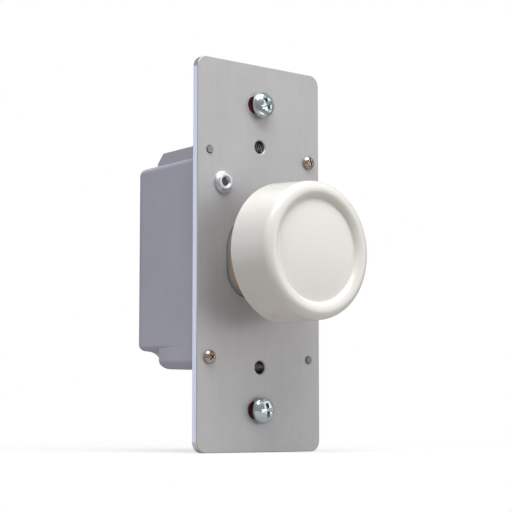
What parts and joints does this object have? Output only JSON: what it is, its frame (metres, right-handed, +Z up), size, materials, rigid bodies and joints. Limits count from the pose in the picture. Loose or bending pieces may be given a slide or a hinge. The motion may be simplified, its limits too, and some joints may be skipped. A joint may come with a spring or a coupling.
{
  "type": "rotary dimmer switch",
  "caption": "Wall-box rotary light dimmer: metal yoke, moulded box behind it, and a push-on, push-off turning knob in front.",
  "frame": {"origin": "centre of the yoke's back face, which bears on the wall box, midway between the box screws", "axes": "+X right and +Z up for someone facing the wall; +Y into the wall, the way the box screws point"},
  "size_m": [0.0436, 0.0552, 0.1058],
  "materials": {
    "yoke": "brushed sheet, vertical grain",
    "housing": "moulded, fine matt texture",
    "bearing": "moulded, satin",
    "track_case": "moulded phenolic",
    "track": "punched laminate with a printed carbon track",
    "tinned_pins": "tin plated",
    "switch_body": "moulded",
    "contact_brass": "stamped strip",
    "spring_steel": "drawn wire and strip",
    "circuit_board": "paper laminate",
    "package": "moulded epoxy on a tinned copper tab",
    "thermal_pad": "silicone sheet",
    "rivet": "cold headed",
    "core": "painted powder core",
    "winding": "enamelled copper wire",
    "film": "dipped box",
    "timer": "dipped film",
    "resistor": "lacquered",
    "diac": "sealed glass",
    "zinc_screw": "bright zinc plated",
    "fibre": "vulcanised fibre",
    "small_screw": "nickel plated",
    "rotor": "moulded nylon",
    "wiper": "stamped spring strip",
    "shaft": "turned",
    "knob": "moulded, polished ivory",
    "plunger": "moulded acetal"
  },
  "bodies": {
    "fixed_parts": {"yoke_plate": "yoke", "housing": "housing", "bearing_cover": "bearing", "track_case": "track_case", "resistor_board": "track", "track_pins": "tinned_pins", "switch_cover": "switch_body", "switch_base": "switch_body", "fixed_contacts": "contact_brass", "plunger_spring": "spring_steel", "circuit_board": "circuit_board", "triac": "package", "thermal_pad": "thermal_pad", "triac_rivet": "rivet", "choke_core": "core", "choke_winding": "winding", "filter_capacitor": "film", "timing_capacitor": "timer", "resistors": "resistor", "diac": "diac", "mounting_screws": "zinc_screw", "screw_retainers": "fibre", "housing_screws": "small_screw"},
    "rotor": {"rotor": "rotor", "wiper": "wiper"},
    "control": {"shaft": "shaft", "knob": "knob", "knob_clip": "spring_steel"},
    "plunger": {"switch_plunger": "plunger", "moving_contact": "contact_brass"}
  },
  "joints": [
    {"name": "knob_turn", "type": "hinge", "parent": "fixed_parts", "child": "rotor", "pos_m": [0, 0, 0], "axis": [0, 1, 0], "range_deg": [-150, 150]},
    {"name": "knob_push", "type": "slide", "parent": "rotor", "child": "control", "axis": [0, 1, 0], "range_m": [0, 0.002], "stiffness_N_per_m": 1200, "springref_m": -0.004},
    {"name": "plunger_push", "type": "slide", "parent": "fixed_parts", "child": "plunger", "axis": [0, 1, 0], "range_m": [0, 0.002], "deforming": ["plunger_spring"]}
  ],
  "couplings": [
    {"joint": "plunger_push", "follows": "knob_push", "ratio": 1}
  ]
}
